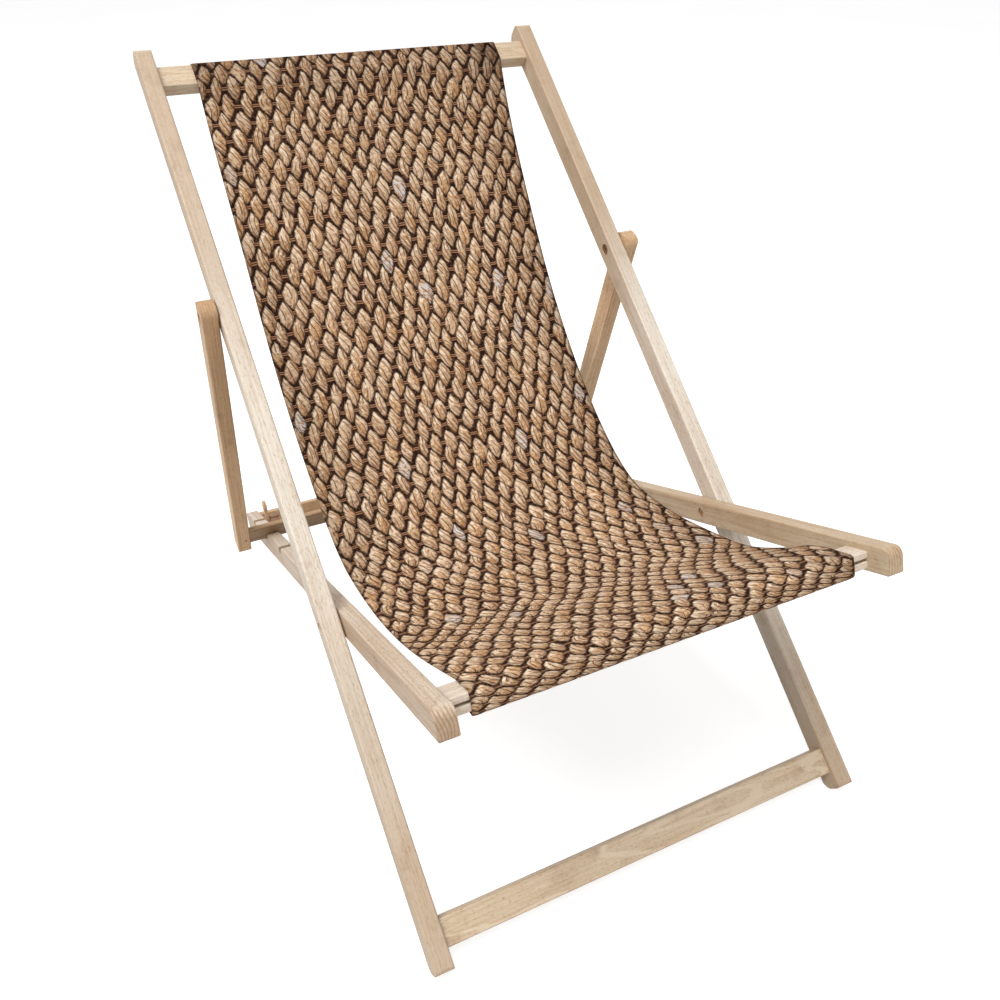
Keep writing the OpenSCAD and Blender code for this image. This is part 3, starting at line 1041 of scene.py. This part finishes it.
    def build(self) -> bpy.types.Object:
        """Makes the cloth as a thin closed sheet with folded side hems.

        Returns:
            The cloth, with a UV of 0 to 1 over its flat cut.
        """
        across = np.linspace(-1, 1, self.columns + 1)
        across = np.sign(across) * (1 - (1 - np.abs(across)) ** self.crowding)
        x = across * self.width / 2
        u = (x + self.width / 2) / self.width
        places = self.printed_places()
        v = places / places[-1]
        rows, cols = len(v), len(u)
        corners = self.quads(rows, cols)
        faces = [[(layer * rows + i) * cols + j for layer, i, j in face]
                 for face in corners]
        uvs = [(float(u[j]), float(v[i])) for face in corners for _, i, j in face]
        mesh = bpy.data.meshes.new("sling")
        mesh.from_pydata(self.layers(x).reshape(-1, 3).tolist(), [], faces)
        layer = mesh.uv_layers.new(name="cloth")
        layer.data.foreach_set("uv", np.array(uvs, np.float32).ravel())
        mesh.polygons.foreach_set("use_smooth", [True] * len(mesh.polygons))
        mesh.update()
        return add_object("sling", mesh)

    def hang(self, material: bpy.types.Material) -> None:
        """Makes, finishes and hangs the cloth on both frames.

        Args:
            material: the printed cloth's finish.
        """
        piece = self.build()
        piece.data.materials.append(material)
        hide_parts("sling_back", "sling_seat")
        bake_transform(piece)
        log.info("hung the sling, %.3f m long", self.length)


@dataclass
class Woodwork:
    """Finishes the three wooden frames."""

    frame: dict
    grain_group: BeechGrain
    wear: HandlingWear
    pale: Tones = (srgb(230, 222, 210), srgb(183, 158, 130))
    cream: Tones = (srgb(222, 211, 196), srgb(184, 160, 134))
    warm: Tones = (srgb(211, 193, 167), srgb(167, 134, 99))
    tan: Tones = (srgb(211, 176, 137), srgb(162, 127, 90))
    fawn: Tones = (srgb(227, 193, 154), srgb(162, 127, 90))
    brown: Tones = (srgb(152, 121, 80), srgb(104, 78, 47))
    # bar: its deep brown dark tone, with the strong sides value, gives the bar's front both
    # darker wood and painted shade.
    bar: Tones = (srgb(211, 176, 137), srgb(104, 78, 47))
    left: Tones = (srgb(222, 211, 196), srgb(167, 134, 99))
    right: Tones = (srgb(202, 184, 158), srgb(167, 134, 99))

    def finish(self) -> None:
        """Gives every wooden node its grain direction and tone."""
        # Node, tones, grain, rings, middle, fade, sides (painted shade on faces not looking
        # up) and figure
        plan = (
            ("main_rail_left", self.pale, Grain.LONG_RAIL, 0.30, 0.17, 0.72, 0.10, 0.1),
            ("main_rail_right", self.pale, Grain.LONG_RAIL, 0.30, 0.10, 0.84, 0.0, 0.1),
            ("top_board", self.warm, Grain.LONG_CROSS, 0.2, 0.0, 0.0, 0.0, 0.2),
            ("foot_bar", self.warm, Grain.LONG_CROSS, 0.2, 0.0, 0.0, 0.15, 0.4),
            ("seat_rail_left", self.left, Grain.SEAT_RAIL, 0.6, 0.1, 0.08, 0.50, 0.1),
            ("seat_rail_right", self.right, Grain.SEAT_RAIL, 0.6, 0.1, 0.08, 0.0, 0.1),
            ("front_slat_upper", self.cream, Grain.SEAT_CROSS, 0.42),
            ("front_slat_lower", self.cream, Grain.SEAT_CROSS, 0.3),
            ("seat_rear_board", self.tan, Grain.SEAT_CROSS, 0.4, 0.0, 0.0, 0.55),
            ("prop_rail_left", self.tan, Grain.PROP_RAIL, 0.36, 0.02, 0.30),
            ("prop_rail_right", self.fawn, Grain.PROP_RAIL, 0.36, 0.02),
            ("prop_bar", self.bar, Grain.PROP_CROSS, 0.4, 0.0, 0.0, 0.62),
            ("main_dowels", self.brown, Grain.LONG_CROSS, 0.3),
            ("rear_board_dowels", self.brown, Grain.SEAT_CROSS, 0.3),
            ("latch_peg", self.tan, Grain.PROP_RAIL, 0.4),
        )
        for number, (name, tones, *rest) in enumerate(plan):
            finish = WoodFinish(f"wood_{name}", *tones, *rest, seed=0.173 * number)
            material = finish.make(self.grain_group, self.wear)
            dress(self.frame, [name], material)


@dataclass
class Fittings:
    """Finishes bolts, nuts, washers, nails and staples."""

    frame: dict
    wear: HandlingWear
    zinc: MetalFinish = MetalFinish("zinc", srgb(170, 142, 112), srgb(112, 84, 60), 0.4)
    knob: MetalFinish = MetalFinish("knob", srgb(150, 118, 96), srgb(96, 70, 52), 0.3)
    nail: MetalFinish = MetalFinish("nail", srgb(134, 104, 92), srgb(98, 66, 54), 0.5)
    wire: MetalFinish = MetalFinish("staple_wire", srgb(190, 190, 188),
                                    srgb(150, 146, 140), 0.4)

    def finish(self) -> None:
        """Gives every metal node its finish."""
        pivots = [f"{place}_pivot_{kind}" for place in ("seat", "prop")
                  for kind in ("bolts", "nuts", "washers")]
        dress(self.frame, pivots, self.zinc.make(self.wear))
        dress(self.frame, ["latch_knob"], self.knob.make(self.wear))
        dress(self.frame, ["prop_bar_nails"], self.nail.make(self.wear))
        dress(self.frame, ["sling_staples_back", "sling_staples_front"],
              self.wire.make(self.wear))


@dataclass(frozen=True)
class Shot:
    """The camera at the photographed angle."""

    place: tuple[float, float, float] = (-0.42631, -0.91034, 0.90952)
    yaw: float = -25.98
    pitch: float = -36.44
    roll: float = -0.28
    lens: float = 32.18
    shift_y: float = 0.048

    def set_up(self) -> None:
        """Makes the camera and takes it as the scene's."""
        yaw, pitch, roll = (math.radians(a) for a in (self.yaw, self.pitch, self.roll))
        turn = (Matrix.Rotation(yaw, 4, "Z") @ Matrix.Rotation(math.pi / 2 + pitch, 4, "X")
                @ Matrix.Rotation(roll, 4, "Z"))
        data = bpy.data.cameras.new("camera")
        data.sensor_width = 36.0
        data.lens = self.lens
        data.shift_y = self.shift_y
        data.clip_end = 60.0
        camera = add_object("camera", data)
        camera.matrix_world = Matrix.Translation(self.place) @ turn
        bpy.context.scene.camera = camera


@dataclass(frozen=True)
class SoftBox:
    """One soft lamp that looks at the chair."""

    name: str
    place: tuple[float, float, float]
    size: float
    power: float
    target: tuple[float, float, float] = (0.0, 0.0, 0.35)

    def set_up(self) -> None:
        """Makes the lamp."""
        data = bpy.data.lights.new(self.name, "AREA")
        data.shape = "SQUARE"
        data.size = self.size
        data.energy = self.power
        lamp = add_object(self.name, data)
        lamp.location = self.place
        look = Vector(self.target) - Vector(self.place)
        lamp.rotation_euler = look.to_track_quat("-Z", "Y").to_euler()


@dataclass
class Studio:
    """A white room: floor, lamps, sky and camera."""

    shot: Shot = Shot()
    lamps: tuple[SoftBox, ...] = (
        SoftBox("key", (-2.3, -0.4, 4.9), 3.8, 272.0),
        SoftBox("fill", (-0.2, -3.2, 1.3), 2.6, 27.0),
        SoftBox("back", (1.6, 2.6, 2.8), 2.4, 20.0),
    )
    sky: float = 0.37
    floor_size: float = 60.0
    floor_tones: Tones = (srgb(196, 196, 196), srgb(202, 202, 202))
    floor_glow: float = 0.72

    def set_up(self) -> None:
        """Builds the studio."""
        bpy.context.scene.view_settings.view_transform = "Standard"
        self.shot.set_up()
        for lamp in self.lamps:
            lamp.set_up()
        self.hang_sky()
        self.lay_floor()

    def hang_sky(self) -> None:
        """Lights evenly from all round, and shows pure white to the camera and in gloss."""
        world = bpy.data.worlds.new("studio")
        bpy.context.scene.world = world
        world.use_nodes = True
        graph = Graph(world.node_tree)
        world.node_tree.nodes.clear()
        sky = graph.node("ShaderNodeBackground", {
            "Color": WHITE, "Strength": graph.pick(self.seen(graph), self.sky, 1.0)})
        graph.node("ShaderNodeOutputWorld", {"Surface": sky.outputs[0]})

    @staticmethod
    def seen(graph: Graph) -> Socket:
        """Returns 1 for rays from the camera and through gloss or glass."""
        path = graph.node("ShaderNodeLightPath").outputs
        gloss = graph.math("MAXIMUM", path["Is Glossy Ray"], path["Is Transmission Ray"])
        return graph.math("MAXIMUM", path["Is Camera Ray"], gloss)

    def lay_floor(self) -> None:
        """Lays a white floor that keeps the chair's shadow."""
        half = self.floor_size / 2
        mesh = bpy.data.meshes.new("floor")
        mesh.from_pydata([(-half, -half, 0), (half, -half, 0), (half, half, 0),
                          (-half, half, 0)], [], [(0, 1, 2, 3)])
        floor = add_object("floor", mesh)
        material, graph, shader = new_material("floor")
        place = graph.node("ShaderNodeTexCoord").outputs["Object"]
        cloud = graph.noise(place, (1.3, 1.3, 1.3), 3.0)
        tone = graph.mix(graph.smooth(cloud, 0.3, 0.7), *self.floor_tones)
        graph.fill(shader, Base_Color=tone, Roughness=0.9, Specular_IOR_Level=0.1,
                   Emission_Color=WHITE,
                   Emission_Strength=graph.times(self.seen(graph), self.floor_glow))
        mesh.materials.append(material)


def main() -> None:
    """Builds the deckchair's looks and the studio."""
    logging.basicConfig(level=logging.INFO, format="%(name)s: %(message)s")
    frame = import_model()
    Studio().set_up()
    wear = HandlingWear()
    Woodwork(frame, BeechGrain(), wear).finish()
    Fittings(frame, wear).finish()
    sling = Sling()
    places = sling.printed_places()
    front = places[round(sling.front_top / sling.length * (len(places) - 1))]
    cloth = ClothFinish("printed_cloth", sling.width, float(places[-1]), float(front))
    sling.hang(cloth.make(BasketPrint(), ClothWeave(), wear))


if __name__ == "__main__":
    main()
